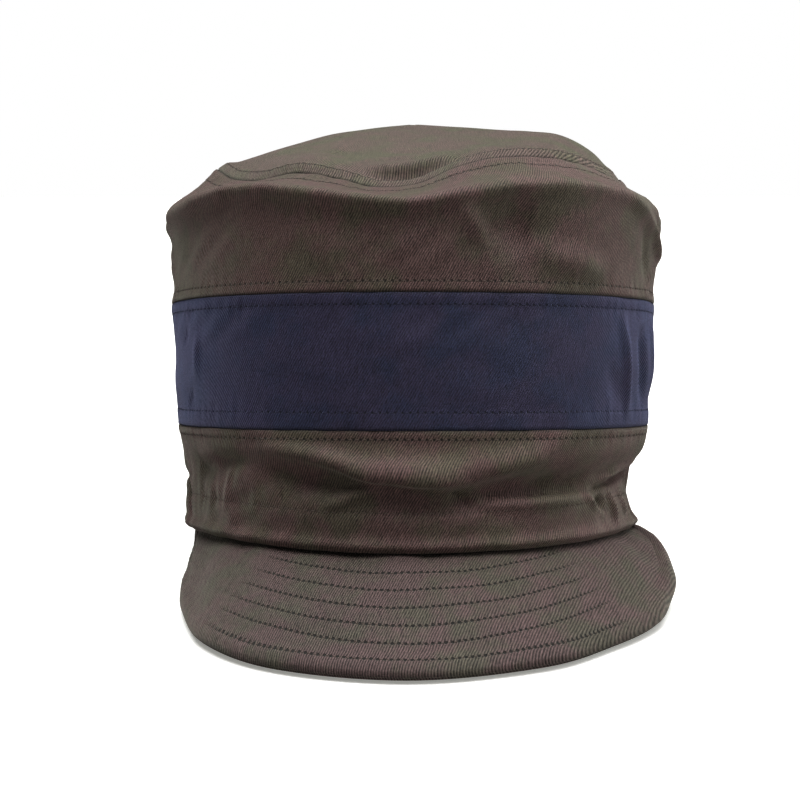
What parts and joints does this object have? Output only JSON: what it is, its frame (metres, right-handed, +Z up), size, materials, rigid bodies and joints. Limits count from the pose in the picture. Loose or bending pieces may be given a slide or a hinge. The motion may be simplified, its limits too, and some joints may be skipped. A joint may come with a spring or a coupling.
{
  "type": "twill cap with navy band and short visor",
  "caption": "Soft round-crowned work cap in olive-brown twill with a navy band, gathered rim and short row-stitched visor.",
  "frame": {"origin": "centre of the footprint of the standing cap, on the surface it stands on", "axes": "+Z up, the visor points to -Y, +X is the right side as seen from the front"},
  "size_m": [0.1906, 0.2662, 0.1726],
  "materials": {
    "olive_twill": "washed cotton twill, matt",
    "navy_twill": "washed cotton twill, matt",
    "visor_twill": "washed cotton twill, row-stitched",
    "thread": "spun sewing thread"
  },
  "bodies": {
    "root": {"top_panel": "olive_twill", "upper_side_panel": "olive_twill", "band_panel": "navy_twill", "lower_side_panel": "olive_twill", "visor_top_cloth": "visor_twill", "visor_under_cloth": "visor_twill"}
  },
  "joints": []
}
